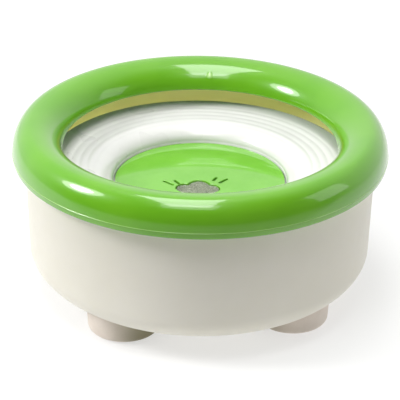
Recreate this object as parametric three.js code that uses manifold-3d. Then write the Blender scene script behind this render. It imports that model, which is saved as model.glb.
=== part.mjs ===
import * as THREE from 'three';
import { mergeVertices } from 'three/addons/utils/BufferGeometryUtils.js';
import Module from 'manifold-3d';

// A no-spill floating-disc water bowl for a dog. A round bowl stands on four stub feet, a thick hollow
// splash ring snaps over its rim, and an annular float rides on the water inside. A lift-out inlet
// cartridge with a filter cup sits in the middle of the float and lets a little water through.
//
// Millimetres, +Z up. The origin is the centre of the circle that the feet stand on, and -Y is the front.
// A section is a list of [radius, height] corners, anticlockwise, that is turned about Z.

const wasm = await Module();
wasm.setup();

// ---- driving dimensions -------------------------------------------------------------------------------

const ROUND_SIDES = 48; // sides of every large turned piece
const CAP_SIDES = 40;
const CUP_SIDES = 36;
const SEAL_SIDES = 32; // sides of the seals, the screen's clamp ring and the filter pad
const FOOT_SIDES = 20;
const SMALL_SIDES = 16; // sides of bosses, pads and the window's lobes
const SCREW_SIDES = 12;
const HOLE_SIDES = 10;
const OUTER_STEPS = 6; // steps in a rounded outer face
const INNER_STEPS = 3; // steps in the hidden face behind it
const [OUT, UP, IN, DOWN, FULL_TURN] = [0, 90, 180, 270, 360]; // a section's directions, in degrees
const GAP = 0.3; // clearance between pieces that touch on the real object
const CUT = 1; // how far a cutter runs past the face it cuts

const BOWL_FLOOR_Z = 8.3; // underside of the bowl's floor
const BOWL_WALL = 2.6;
const BOWL_HIP_R = 96.5; // outside radius where the rounded corner ends
const BOWL_CORNER_WIDTH = 36;
const BOWL_CORNER_HEIGHT = 20.6;
const BOWL_CORNER_STEPS = 7;
const BOWL_RIM_R = 97.95;
const BOWL_RIM_Z = 86;
const BOWL_RIM_ROUND = 0.6;

const FEET = ['front_left', 'front_right', 'rear_right', 'rear_left'];
const FOOT_CIRCLE_R = 66.3;
const FIRST_FOOT_ANGLE = THREE.MathUtils.degToRad(270 - 38);
const FOOT_TOP_R = 21;
const FOOT_SOLE_R = 20.2;
const FOOT_SOLE_Z = 0.5;
const FOOT_EDGE_ROUND = 3;
const FOOT_TOP_Z = 20;
const FOOT_WEB = 1.5; // soft material clamped between the screw's head and the spigot

const PAD_R = 12;
const PAD_THICKNESS = 2.1;

const SPIGOT_R = 8;
const BOSS_R = 5.5;
const BOSS_TOP_Z = 15.4;
const BOSS_BORE_TOP_Z = 13.4;
const SCREW_SHANK_R = 1.5;
const SCREW_SHANK_LENGTH = 8.6;
const SCREW_HEAD_R = 3.3;
const SCREW_HEAD_HEIGHT = 1.8;
const SCREW_HEAD_CHAMFER = 0.6;
const SCREW_RECESS_R = 1.3;
const SCREW_RECESS_DEPTH = 1.1;
const SCREW_RECESS_SIDES = 6;

const RING_OUTER_R = 105;
const RING_CROWN_R = 93.9;
const RING_THROAT_R = 76.55;
const RING_SEAM_Z = 85.9;
const RING_HEIGHT = 15.9; // crown above the seam
const RING_WALL = 2.2;
const RING_INNER_EDGE_Z = 87.6; // lower edge of the shell inside the throat
const RING_LIP_Z = 82.3; // underside of the overhanging lip
const RING_LIP_ROUND = 0.8;
const RING_LIP_DRAFT = 0.45;
const RING_CHANNEL_ROOF_Z = 88.7;
const RING_CHANNEL_SIDE_GAP = 0.55;
const RING_SKIRT_WALL = 2.2;
const RING_SKIRT_Z = 80.5;
const RING_PLATE = 2.1; // thickness of the plate that floors the hollow ring
const RING_PLATE_R = 80.85; // its inner edge, clear of the dome
const RING_SKIRT_CHAMFER = 0.5;
const RING_TONGUE_HEIGHT = 2.5;
const RING_TONGUE_GAP = 0.9;
const GASKET_SIDE_GAP = 0.5;

const FLOAT_R = 87.5;
const FLOAT_WALL = 2;
const FLOAT_RIM_Z = 76.3;
const FLOAT_RIM_ROUND = 1.6;
const FLOAT_SKIRT_Z = 72.6;
const SHOULDER_R = 64; // where the deck starts to roll over into the well
const SHOULDER_Z = 75.2;
const SHOULDER_WIDTH = 15;
const SHOULDER_HEIGHT = 8.4;
const DECK_BORE_R = 48.5;
const DECK_FOOT_Z = 65;
const HULL_FLOOR_Z = 56;
const HULL_CORNER = 8;
const HULL_HIP_R = 84.9;
const HULL_TOP_R = 86.9;
const HULL_TONGUE_HEIGHT = 0.7;
const WELL_R = 45.6;
const WELL_LEDGE_Z = 63.6;
const WELL_RIM_R = 52.4;
const WELL_RIM_HEIGHT = 1.9;
const WELL_RIM_WALL = 1.4;
const OUTER_SEAL_THICKNESS = 0.7;
const INNER_SEAL_THICKNESS = 0.8;
const SEAL_CORNERS = 4; // corners of a seal's section

const CAP_R = 47.9;
const CAP_Z = 66.1;
const CAP_THICKNESS = 2.2;
const CAP_EDGE_ROUND = 0.5;
const CAP_SKIRT_R = 45.2;
const CAP_SKIRT_WALL = 2;
const CAP_SKIRT_Z = 57.5;
const SOCKET_R = 30;
const SOCKET_WALL = 2;
const SOCKET_Z = 58;
const SCREEN_WALL_R = 25.4;
const SCREEN_WALL = 1.6;
const SCREEN_WALL_Z = 61;
const SCREEN_R = 23.5;
const SCREEN_THICKNESS = 0.6;
const SCREEN_HOLE_R = 2;
const SCREEN_PITCH = 6.6;
const SCREEN_RING_BORE_R = 20.8;
const SCREEN_RING_THICKNESS = 1.6;

// The paw-pad window, from the cap's centre: three lobes above a wide heel.
const PAW_LOBES = [
  { x: -0.4, y: -8.4, r: 6.6 },
  { x: -8.4, y: -11.5, r: 5.2 },
  { x: 6.3, y: -11.9, r: 5 },
];
const PAW_HEEL = { x: -1, y: -13.6, halfWidth: 11, halfDepth: 6.2 };
const SLOT_WIDTH = 1.6;
const SLOTS = [
  { from: [-20, -3.6], to: [-15.2, -8] },
  { from: [-14, -2.8], to: [-11.8, -6.2] },
  { from: [7.6, -1.6], to: [9.2, 1.6] },
  { from: [11.2, -4.6], to: [15.2, 0] },
];

const CUP_R = 27.7;
const CUP_WALL = 1.8;
const CUP_FLOOR_Z = 46;
const CUP_RIM_Z = 63.5;
const CUP_SLOTS = 12;
const CUP_SLOT_WIDTH = 3;
const CUP_SLOT_LOW_Z = 49.5;
const CUP_SLOT_HIGH_Z = 57.5;
const CUP_FLOOR_HOLES = 8;
const CUP_FLOOR_HOLE_R = 2.4;
const CUP_FLOOR_HOLE_CIRCLE_R = 15;
const LUGS = 3;
const LUG_SWEEP = THREE.MathUtils.degToRad(40);
const LUG_HEIGHT = 1.6;
const LUG_REACH = 1.9;
const LUG_GAP = 0.4;
const FILTER_R = 25.3;
const FILTER_THICKNESS = 12.2;

// ---- shapes -------------------------------------------------------------------------------------------

// Turns a three.js geometry into a solid that can be joined and cut.
function toSolid(geometry) {
  geometry.deleteAttribute('normal');
  geometry.deleteAttribute('uv');
  const merged = mergeVertices(geometry, 1e-4);
  const corners = merged.index.array;
  const triangles = [];
  for (let i = 0; i < corners.length; i += 3) {
    const [a, b, c] = [corners[i], corners[i + 1], corners[i + 2]];
    if (a !== b && b !== c && a !== c) triangles.push(a, b, c);
  }
  const vertProperties = new Float32Array(merged.attributes.position.array);
  const triVerts = new Uint32Array(triangles);
  return new wasm.Manifold(new wasm.Mesh({ numProp: 3, vertProperties, triVerts }));
}

function toGeometry(solid) {
  const mesh = solid.getMesh();
  const geometry = new THREE.BufferGeometry();
  geometry.setAttribute('position', new THREE.BufferAttribute(mesh.vertProperties, 3));
  geometry.setIndex(new THREE.BufferAttribute(mesh.triVerts, 1));
  geometry.computeVertexNormals();
  return geometry;
}

// Turns a section about Z. A section that doesn't start on the axis is closed on itself.
function turned(section, sides = ROUND_SIDES) {
  const outline = section.map(([radius, height]) => new THREE.Vector2(radius, height));
  if (section[0][0] > 0) outline.push(outline[0].clone());
  return toSolid(new THREE.LatheGeometry(outline, sides).rotateX(Math.PI / 2));
}

// Points of an ellipse's arc, as section corners. Angles are in degrees from the outward direction.
function arc(centreR, centreZ, width, height, fromDegrees, toDegrees, steps) {
  const points = [];
  for (let i = 0; i <= steps; i += 1) {
    const angle = THREE.MathUtils.degToRad(fromDegrees + ((toDegrees - fromDegrees) * i) / steps);
    points.push([centreR + width * Math.cos(angle), centreZ + height * Math.sin(angle)]);
  }
  return points;
}

function disc(radius, lowZ, highZ, sides = SMALL_SIDES, x = 0, y = 0) {
  const cylinder = new THREE.CylinderGeometry(radius, radius, highZ - lowZ, sides);
  return toSolid(cylinder.rotateX(Math.PI / 2).translate(x, y, (lowZ + highZ) / 2));
}

function box(width, depth, lowZ, highZ, x, y, turn) {
  const block = new THREE.BoxGeometry(width, depth, highZ - lowZ);
  return toSolid(block.rotateZ(turn).translate(x, y, (lowZ + highZ) / 2));
}

function extruded(shape, lowZ, highZ, curveSegments) {
  const options = { depth: highZ - lowZ, bevelEnabled: false, curveSegments };
  return toSolid(new THREE.ExtrudeGeometry(shape, options).translate(0, 0, lowZ));
}

// A block that follows a ring from one angle through a sweep.
function arcBlock(innerR, outerR, lowZ, highZ, start, sweep) {
  const shape = new THREE.Shape();
  shape.absarc(0, 0, outerR, start, start + sweep, false);
  shape.absarc(0, 0, innerR, start + sweep, start, true);
  return extruded(shape, lowZ, highZ, OUTER_STEPS);
}

function onCircle(radius, angle) {
  return [radius * Math.cos(angle), radius * Math.sin(angle)];
}

// ---- bowl, feet and their fasteners -------------------------------------------------------------------

// The bowl's surface from the axis to the top of its rounded corner, moved outwards by an offset.
function bowlSurface(offset, steps) {
  const centreR = BOWL_HIP_R - BOWL_CORNER_WIDTH;
  const centreZ = BOWL_FLOOR_Z + BOWL_CORNER_HEIGHT;
  const width = BOWL_CORNER_WIDTH + offset;
  const height = BOWL_CORNER_HEIGHT + offset;
  return [[0, BOWL_FLOOR_Z - offset], ...arc(centreR, centreZ, width, height, DOWN, FULL_TURN, steps)];
}

function footCentre(index) {
  return onCircle(FOOT_CIRCLE_R, FIRST_FOOT_ANGLE + (index * Math.PI) / 2);
}

const SPIGOT_Z = FOOT_SOLE_Z + PAD_THICKNESS + SCREW_HEAD_HEIGHT + FOOT_WEB + 2 * GAP;
const SCREW_HEAD_TOP_Z = PAD_THICKNESS + GAP + SCREW_HEAD_HEIGHT;
const SCREW_BORE_R = SCREW_SHANK_R + GAP;

function bowlShell() {
  const outside = bowlSurface(0, BOWL_CORNER_STEPS);
  const inside = bowlSurface(-BOWL_WALL, BOWL_CORNER_STEPS - 2).reverse();
  const rimInnerR = BOWL_RIM_R - BOWL_WALL;
  const rim = [
    [BOWL_RIM_R, BOWL_RIM_Z - BOWL_RIM_ROUND],
    [BOWL_RIM_R - BOWL_RIM_ROUND, BOWL_RIM_Z],
    [rimInnerR + BOWL_RIM_ROUND, BOWL_RIM_Z],
    [rimInnerR, BOWL_RIM_Z - BOWL_RIM_ROUND],
  ];
  let bowl = turned([...outside, ...rim, ...inside]);
  FEET.forEach((name, index) => {
    const [x, y] = footCentre(index);
    const joinZ = BOWL_FLOOR_Z + BOWL_WALL / 2;
    bowl = bowl.add(disc(BOSS_R, joinZ, BOSS_TOP_Z, SMALL_SIDES, x, y));
    bowl = bowl.add(disc(SPIGOT_R, SPIGOT_Z, joinZ, SMALL_SIDES, x, y));
    bowl = bowl.subtract(disc(SCREW_BORE_R, SPIGOT_Z - CUT, BOSS_BORE_TOP_Z, SCREW_SIDES, x, y));
  });
  return bowl;
}

// A soft stub foot, cut to the bowl's underside, with a socket for the spigot, a web that the screw
// clamps, a pocket for the screw's head and a recess for the anti-slip pad.
function foot(index) {
  const [x, y] = footCentre(index);
  const edgeR = FOOT_SOLE_R - FOOT_EDGE_ROUND;
  const edgeZ = FOOT_SOLE_Z + FOOT_EDGE_ROUND;
  const outline = [
    [0, FOOT_SOLE_Z],
    ...arc(edgeR, edgeZ, FOOT_EDGE_ROUND, FOOT_EDGE_ROUND, DOWN, FULL_TURN, INNER_STEPS),
    [FOOT_TOP_R, FOOT_TOP_Z],
    [0, FOOT_TOP_Z],
  ];
  const underBowl = bowlSurface(GAP, BOWL_CORNER_STEPS);
  const bowlAbove = turned([...underBowl, [0, BOWL_FLOOR_Z + BOWL_CORNER_HEIGHT]]);
  const webTopZ = SPIGOT_Z - GAP;
  const blank = turned(outline, FOOT_SIDES).subtract(disc(SPIGOT_R + GAP, webTopZ, FOOT_TOP_Z + CUT));
  return blank
    .subtract(disc(SCREW_HEAD_R + GAP, 0, webTopZ - FOOT_WEB))
    .subtract(disc(SCREW_BORE_R, 0, FOOT_TOP_Z, SCREW_SIDES))
    .subtract(disc(PAD_R + GAP, 0, PAD_THICKNESS + GAP))
    .subtract(bowlAbove.translate([-x, -y, 0]));
}

function footPad() {
  return disc(PAD_R, 0, PAD_THICKNESS);
}

// A self-tapping screw, point up, with a hexagonal drive recess in its head.
function footScrew() {
  const headZ = SCREW_HEAD_TOP_Z - SCREW_HEAD_HEIGHT;
  const tipZ = SCREW_HEAD_TOP_Z + SCREW_SHANK_LENGTH;
  const section = [
    [0, headZ],
    [SCREW_HEAD_R - SCREW_HEAD_CHAMFER, headZ],
    [SCREW_HEAD_R, headZ + SCREW_HEAD_CHAMFER],
    [SCREW_HEAD_R, SCREW_HEAD_TOP_Z],
    [SCREW_SHANK_R, SCREW_HEAD_TOP_Z],
    [SCREW_SHANK_R, tipZ - SCREW_SHANK_R],
    [0, tipZ],
  ];
  const recess = disc(SCREW_RECESS_R, headZ - CUT, headZ + SCREW_RECESS_DEPTH, SCREW_RECESS_SIDES);
  return turned(section, SCREW_SIDES).subtract(recess);
}

// ---- splash ring --------------------------------------------------------------------------------------

const RING_OUTER_WIDTH = RING_OUTER_R - RING_CROWN_R;
const RING_INNER_WIDTH = RING_CROWN_R - RING_THROAT_R;

// The angle below which the dome's inner side ends at the throat's lower edge.
function throatAngle(height) {
  return IN - THREE.MathUtils.radToDeg(Math.asin((RING_INNER_EDGE_Z - RING_SEAM_Z) / height));
}

// Half of a fat ring, open below: two quarter ellipses that meet at the crown, and the same ones
// again one wall further in.
function ringTopShell() {
  const low = THREE.MathUtils.radToDeg(Math.asin(GAP / 2 / RING_HEIGHT));
  const innerHeight = RING_HEIGHT - RING_WALL;
  const quarter = (width, height, from, to, steps) =>
    arc(RING_CROWN_R, RING_SEAM_Z, width, height, from, to, steps);
  return turned([
    ...quarter(RING_OUTER_WIDTH, RING_HEIGHT, low, UP, OUTER_STEPS),
    ...quarter(RING_INNER_WIDTH, RING_HEIGHT, UP, throatAngle(RING_HEIGHT), OUTER_STEPS).slice(1),
    ...quarter(RING_INNER_WIDTH - RING_WALL, innerHeight, throatAngle(innerHeight), UP, INNER_STEPS),
    ...quarter(RING_OUTER_WIDTH - RING_WALL, innerHeight, UP, low, INNER_STEPS).slice(1),
  ]);
}

const CHANNEL_OUTER_R = BOWL_RIM_R + RING_CHANNEL_SIDE_GAP;
const SKIRT_OUTER_R = BOWL_RIM_R - BOWL_WALL - RING_CHANNEL_SIDE_GAP - GAP;

// The collar that closes the dome: an overhanging lip, a channel over the bowl's rim, a skirt that
// plugs into the bowl and a floor plate that reaches in to the throat.
function ringBase() {
  const skirtInnerR = SKIRT_OUTER_R - RING_SKIRT_WALL;
  const plateZ = RING_INNER_EDGE_Z + GAP;
  const tongueR = RING_OUTER_R - RING_WALL - RING_TONGUE_GAP;
  const seamZ = RING_SEAM_Z - GAP / 2;
  const tongueTopZ = seamZ + RING_TONGUE_HEIGHT;
  const channelBackR = CHANNEL_OUTER_R + RING_PLATE;
  const roofTopZ = RING_CHANNEL_ROOF_Z + RING_PLATE;
  return turned([
    [RING_PLATE_R, plateZ],
    [skirtInnerR, plateZ],
    [skirtInnerR, RING_SKIRT_Z + RING_SKIRT_CHAMFER],
    [skirtInnerR + RING_SKIRT_CHAMFER, RING_SKIRT_Z],
    [SKIRT_OUTER_R - RING_SKIRT_CHAMFER, RING_SKIRT_Z],
    [SKIRT_OUTER_R, RING_SKIRT_Z + RING_SKIRT_CHAMFER],
    [SKIRT_OUTER_R, RING_CHANNEL_ROOF_Z],
    [CHANNEL_OUTER_R, RING_CHANNEL_ROOF_Z],
    [CHANNEL_OUTER_R, RING_LIP_Z],
    [RING_OUTER_R - RING_LIP_DRAFT - RING_LIP_ROUND, RING_LIP_Z],
    [RING_OUTER_R - RING_LIP_DRAFT, RING_LIP_Z + RING_LIP_ROUND],
    [RING_OUTER_R, seamZ],
    [tongueR, seamZ],
    [tongueR, tongueTopZ],
    [channelBackR, tongueTopZ],
    [channelBackR, roofTopZ],
    [skirtInnerR, roofTopZ],
    [skirtInnerR, plateZ + RING_PLATE],
    [RING_PLATE_R, plateZ + RING_PLATE],
  ]);
}

// The silicone ring in the top of the channel, which the bowl's rim presses into.
function ringGasket() {
  const innerR = SKIRT_OUTER_R + GASKET_SIDE_GAP;
  const outerR = CHANNEL_OUTER_R - GASKET_SIDE_GAP;
  const lowZ = BOWL_RIM_Z + GAP;
  const highZ = RING_CHANNEL_ROOF_Z - GAP;
  return turned([[innerR, lowZ], [outerR, lowZ], [outerR, highZ], [innerR, highZ]]);
}

// ---- float --------------------------------------------------------------------------------------------

// The top shell: a slightly dished deck, a shoulder that rolls over, and a wall round the well.
function floatDeck() {
  const wallTopR = SHOULDER_R - SHOULDER_WIDTH;
  const rollZ = SHOULDER_Z - SHOULDER_HEIGHT;
  const rimR = FLOAT_R - FLOAT_RIM_ROUND;
  const rimZ = FLOAT_RIM_Z - FLOAT_RIM_ROUND;
  const innerWidth = SHOULDER_WIDTH - FLOAT_WALL;
  const innerHeight = SHOULDER_HEIGHT - FLOAT_WALL;
  return turned([
    [FLOAT_R, FLOAT_SKIRT_Z],
    ...arc(rimR, rimZ, FLOAT_RIM_ROUND, FLOAT_RIM_ROUND, OUT, UP, INNER_STEPS - 1),
    ...arc(SHOULDER_R, rollZ, SHOULDER_WIDTH, SHOULDER_HEIGHT, UP, IN, OUTER_STEPS - 1),
    [DECK_BORE_R, DECK_FOOT_Z],
    [DECK_BORE_R + FLOAT_WALL, DECK_FOOT_Z],
    [wallTopR + FLOAT_WALL, rollZ],
    ...arc(SHOULDER_R, rollZ, innerWidth, innerHeight, IN, UP, INNER_STEPS).slice(1),
    [FLOAT_R - FLOAT_WALL, FLOAT_RIM_Z - FLOAT_WALL],
    [FLOAT_R - FLOAT_WALL, FLOAT_SKIRT_Z],
  ]);
}

// The bottom shell, with the well that the inlet cartridge drops into and a rim outside the deck's wall.
function floatHull() {
  const cornerR = HULL_HIP_R - HULL_CORNER;
  const cornerZ = HULL_FLOOR_Z + HULL_CORNER;
  const stepZ = FLOAT_SKIRT_Z - GAP;
  const tongueR = FLOAT_R - 2 * FLOAT_WALL + WELL_RIM_WALL;
  const tongueInnerR = tongueR - FLOAT_WALL + GAP;
  const inner = HULL_CORNER - FLOAT_WALL;
  const wellBackR = WELL_R + FLOAT_WALL;
  return turned([
    [WELL_R, HULL_FLOOR_Z],
    ...arc(cornerR, cornerZ, HULL_CORNER, HULL_CORNER, DOWN, FULL_TURN, INNER_STEPS + 1),
    [HULL_TOP_R, stepZ],
    [tongueR, stepZ],
    [tongueR, stepZ + HULL_TONGUE_HEIGHT],
    [tongueInnerR, stepZ + HULL_TONGUE_HEIGHT],
    ...arc(cornerR, cornerZ, inner, inner, FULL_TURN, DOWN, INNER_STEPS),
    [wellBackR, HULL_FLOOR_Z + FLOAT_WALL],
    [wellBackR, WELL_LEDGE_Z - FLOAT_WALL],
    [WELL_RIM_R, WELL_LEDGE_Z - FLOAT_WALL],
    [WELL_RIM_R, WELL_LEDGE_Z + WELL_RIM_HEIGHT],
    [WELL_RIM_R - WELL_RIM_WALL, WELL_LEDGE_Z + WELL_RIM_HEIGHT],
    [WELL_RIM_R - WELL_RIM_WALL, WELL_LEDGE_Z],
    [WELL_R, WELL_LEDGE_Z],
  ]);
}

function sealRing(radius, z, thickness) {
  const half = thickness / 2;
  return turned(arc(radius, z, half, half, OUT, FULL_TURN, SEAL_CORNERS).slice(1), SEAL_SIDES);
}

// The seal between the deck's skirt and the hull's tongue.
function outerSeal() {
  const radius = FLOAT_R - 2 * FLOAT_WALL + GAP;
  const lowZ = FLOAT_SKIRT_Z + HULL_TONGUE_HEIGHT;
  return sealRing(radius, lowZ + OUTER_SEAL_THICKNESS / 2, OUTER_SEAL_THICKNESS);
}

// The seal that the deck's inner wall presses on the well's ledge.
function innerSeal() {
  const radius = DECK_BORE_R + FLOAT_WALL / 2;
  return sealRing(radius, WELL_LEDGE_Z + GAP + INNER_SEAL_THICKNESS / 2, INNER_SEAL_THICKNESS);
}

// ---- inlet cartridge ----------------------------------------------------------------------------------

const CAP_UNDERSIDE_Z = CAP_Z - CAP_THICKNESS;

function slotCutter({ from, to }) {
  const start = new THREE.Vector2(...from);
  const end = new THREE.Vector2(...to);
  const heading = end.clone().sub(start).angle();
  const quarter = Math.PI / 2;
  const shape = new THREE.Shape();
  shape.absarc(end.x, end.y, SLOT_WIDTH / 2, heading - quarter, heading + quarter, false);
  shape.absarc(start.x, start.y, SLOT_WIDTH / 2, heading + quarter, heading + 3 * quarter, false);
  return extruded(shape, CAP_UNDERSIDE_Z - CUT, CAP_Z + CUT, INNER_STEPS + 1);
}

function pawCutter() {
  const [lowZ, highZ] = [CAP_UNDERSIDE_Z - CUT, CAP_Z + CUT];
  const heel = new THREE.Shape();
  heel.absellipse(PAW_HEEL.x, PAW_HEEL.y, PAW_HEEL.halfWidth, PAW_HEEL.halfDepth, 0, 2 * Math.PI, false);
  return PAW_LOBES.reduce(
    (paw, lobe) => paw.add(disc(lobe.r, lowZ, highZ, SMALL_SIDES, lobe.x, lobe.y)),
    extruded(heel, lowZ, highZ, 2 * OUTER_STEPS),
  );
}

// Bayonet lugs: the cap's point inwards, and the cup's point outwards above them.
function lugs(innerR, outerR, lowZ) {
  const parts = [];
  for (let i = 0; i < LUGS; i += 1) {
    const start = (i * 2 * Math.PI) / LUGS;
    parts.push(arcBlock(innerR, outerR, lowZ, lowZ + LUG_HEIGHT, start, LUG_SWEEP));
  }
  return parts;
}

// The green cap: a plate with a rounded edge, a skirt that centres it in the well, a bayonet socket for
// the filter cup and a short wall round the screen.
function inletCap() {
  const socketBackR = SOCKET_R + SOCKET_WALL;
  const screenInnerR = SCREEN_WALL_R - SCREEN_WALL;
  let cap = turned([
    [0, CAP_UNDERSIDE_Z],
    [screenInnerR, CAP_UNDERSIDE_Z],
    [screenInnerR, SCREEN_WALL_Z],
    [SCREEN_WALL_R, SCREEN_WALL_Z],
    [SCREEN_WALL_R, CAP_UNDERSIDE_Z],
    [SOCKET_R, CAP_UNDERSIDE_Z],
    [SOCKET_R, SOCKET_Z],
    [socketBackR, SOCKET_Z],
    [socketBackR, CAP_UNDERSIDE_Z],
    [CAP_SKIRT_R - CAP_SKIRT_WALL, CAP_UNDERSIDE_Z],
    [CAP_SKIRT_R - CAP_SKIRT_WALL, CAP_SKIRT_Z],
    [CAP_SKIRT_R, CAP_SKIRT_Z],
    [CAP_SKIRT_R, CAP_UNDERSIDE_Z],
    [CAP_R, CAP_UNDERSIDE_Z],
    [CAP_R, CAP_Z - CAP_EDGE_ROUND],
    [CAP_R - CAP_EDGE_ROUND, CAP_Z],
    [0, CAP_Z],
  ], CAP_SIDES);
  lugs(SOCKET_R - LUG_REACH + GAP / 2, SOCKET_R + SOCKET_WALL / 2, SOCKET_Z).forEach((lug) => {
    cap = cap.add(lug);
  });
  cap = cap.subtract(pawCutter());
  SLOTS.forEach((slot) => {
    cap = cap.subtract(slotCutter(slot));
  });
  return cap;
}

const SCREEN_TOP_Z = CAP_UNDERSIDE_Z - GAP;

// The stainless screen, as a perforated disc with its holes in staggered rows.
function meshScreen() {
  const outline = new THREE.Shape();
  outline.absarc(0, 0, SCREEN_R, 0, 2 * Math.PI, false);
  const rowPitch = (SCREEN_PITCH * Math.sqrt(3)) / 2;
  const rows = Math.floor(SCREEN_RING_BORE_R / rowPitch);
  for (let row = -rows; row <= rows; row += 1) {
    const shift = row % 2 === 0 ? 0 : SCREEN_PITCH / 2;
    for (let column = -rows; column <= rows; column += 1) {
      const x = column * SCREEN_PITCH + shift;
      const y = row * rowPitch;
      if (Math.hypot(x, y) > SCREEN_RING_BORE_R - 2 * SCREEN_HOLE_R) continue;
      const hole = new THREE.Path();
      hole.absarc(x, y, SCREEN_HOLE_R, 0, 2 * Math.PI, true);
      outline.holes.push(hole);
    }
  }
  return extruded(outline, SCREEN_TOP_Z - SCREEN_THICKNESS, SCREEN_TOP_Z, INNER_STEPS + 1);
}

function screenRing() {
  const highZ = SCREEN_TOP_Z - SCREEN_THICKNESS - GAP;
  const lowZ = highZ - SCREEN_RING_THICKNESS;
  const section = [
    [SCREEN_RING_BORE_R, lowZ],
    [SCREEN_R, lowZ],
    [SCREEN_R, highZ],
    [SCREEN_RING_BORE_R, highZ],
  ];
  return turned(section, SEAL_SIDES);
}

// The basket that hangs under the cap: slotted wall, holed floor and three bayonet lugs.
function filterCup() {
  const innerR = CUP_R - CUP_WALL;
  const floorTopZ = CUP_FLOOR_Z + CUP_WALL;
  const section = [[0, CUP_FLOOR_Z], [CUP_R, CUP_FLOOR_Z], [CUP_R, CUP_RIM_Z], [innerR, CUP_RIM_Z]];
  let cup = turned([...section, [innerR, floorTopZ], [0, floorTopZ]], CUP_SIDES);
  const lugZ = SOCKET_Z + LUG_HEIGHT + LUG_GAP;
  lugs(CUP_R - CUP_WALL / 2, CUP_R + LUG_REACH, lugZ).forEach((lug) => {
    cup = cup.add(lug);
  });
  for (let i = 0; i < CUP_SLOTS; i += 1) {
    const angle = (i * 2 * Math.PI) / CUP_SLOTS;
    const [x, y] = onCircle(CUP_R, angle);
    cup = cup.subtract(box(4 * CUP_WALL, CUP_SLOT_WIDTH, CUP_SLOT_LOW_Z, CUP_SLOT_HIGH_Z, x, y, angle));
  }
  for (let i = 0; i < CUP_FLOOR_HOLES; i += 1) {
    const [x, y] = onCircle(CUP_FLOOR_HOLE_CIRCLE_R, (i * 2 * Math.PI) / CUP_FLOOR_HOLES);
    cup = cup.subtract(disc(CUP_FLOOR_HOLE_R, CUP_FLOOR_Z - CUT, floorTopZ + CUT, HOLE_SIDES, x, y));
  }
  return cup;
}

function filterPad() {
  const lowZ = CUP_FLOOR_Z + CUP_WALL + GAP;
  return disc(FILTER_R, lowZ, lowZ + FILTER_THICKNESS, SEAL_SIDES);
}

// ---- assembly -----------------------------------------------------------------------------------------

const LOOKS = {
  creamPlastic: { color: 0xefece2, roughness: 0.45, metalness: 0 },
  softCream: { color: 0xe2d8cd, roughness: 0.8, metalness: 0 },
  padRubber: { color: 0xbfb8ae, roughness: 0.9, metalness: 0 },
  steel: { color: 0xb9bab6, roughness: 0.35, metalness: 1 },
  greenPlastic: { color: 0x62bd2f, roughness: 0.12, metalness: 0 },
  capPlastic: { color: 0x7ecb50, roughness: 0.08, metalness: 0 },
  silicone: { color: 0xe6e7e2, roughness: 0.6, metalness: 0 },
  whitePlastic: { color: 0xf6f5f0, roughness: 0.2, metalness: 0 },
  filterFoam: { color: 0xd9dcd6, roughness: 1, metalness: 0 },
};

function piece(name, solid, look, x = 0, y = 0) {
  const mesh = new THREE.Mesh(toGeometry(solid), new THREE.MeshStandardMaterial(LOOKS[look]));
  mesh.name = name;
  mesh.position.set(x, y, 0);
  return mesh;
}

const bowlGroup = new THREE.Group();
bowlGroup.add(piece('bowl_shell', bowlShell(), 'creamPlastic'));
FEET.forEach((corner, index) => {
  const [x, y] = footCentre(index);
  bowlGroup.add(piece(`foot_${corner}`, foot(index), 'softCream', x, y));
  bowlGroup.add(piece(`foot_pad_${corner}`, footPad(), 'padRubber', x, y));
  bowlGroup.add(piece(`foot_screw_${corner}`, footScrew(), 'steel', x, y));
});

const ringGroup = new THREE.Group();
ringGroup.add(piece('ring_top_shell', ringTopShell(), 'greenPlastic'));
ringGroup.add(piece('ring_base', ringBase(), 'greenPlastic'));
ringGroup.add(piece('ring_gasket', ringGasket(), 'silicone'));

const floatGroup = new THREE.Group();
floatGroup.add(piece('float_deck', floatDeck(), 'whitePlastic'));
floatGroup.add(piece('float_hull', floatHull(), 'whitePlastic'));
floatGroup.add(piece('float_seal_outer', outerSeal(), 'silicone'));
floatGroup.add(piece('float_seal_inner', innerSeal(), 'silicone'));

const cartridgeGroup = new THREE.Group();
cartridgeGroup.add(piece('inlet_cap', inletCap(), 'capPlastic'));
cartridgeGroup.add(piece('mesh_screen', meshScreen(), 'steel'));
cartridgeGroup.add(piece('screen_ring', screenRing(), 'whitePlastic'));

const filterGroup = new THREE.Group();
filterGroup.add(piece('filter_cup', filterCup(), 'whitePlastic'));
filterGroup.add(piece('filter_pad', filterPad(), 'filterFoam'));
cartridgeGroup.add(filterGroup);

const waterBowl = new THREE.Group();
waterBowl.add(bowlGroup, ringGroup, floatGroup, cartridgeGroup);

export default waterBowl;
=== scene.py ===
"""A no-spill floating-disc water bowl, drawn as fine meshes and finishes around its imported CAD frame.

Every piece is turned or built in mesh code, in the frame's own coordinates: metres, +Z up, the feet on
z = 0 and -Y the front. Sections and outlines are written in millimetres and scaled by MM.
"""

import math

import bmesh
import bpy
from mathutils import Matrix, Vector


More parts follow.
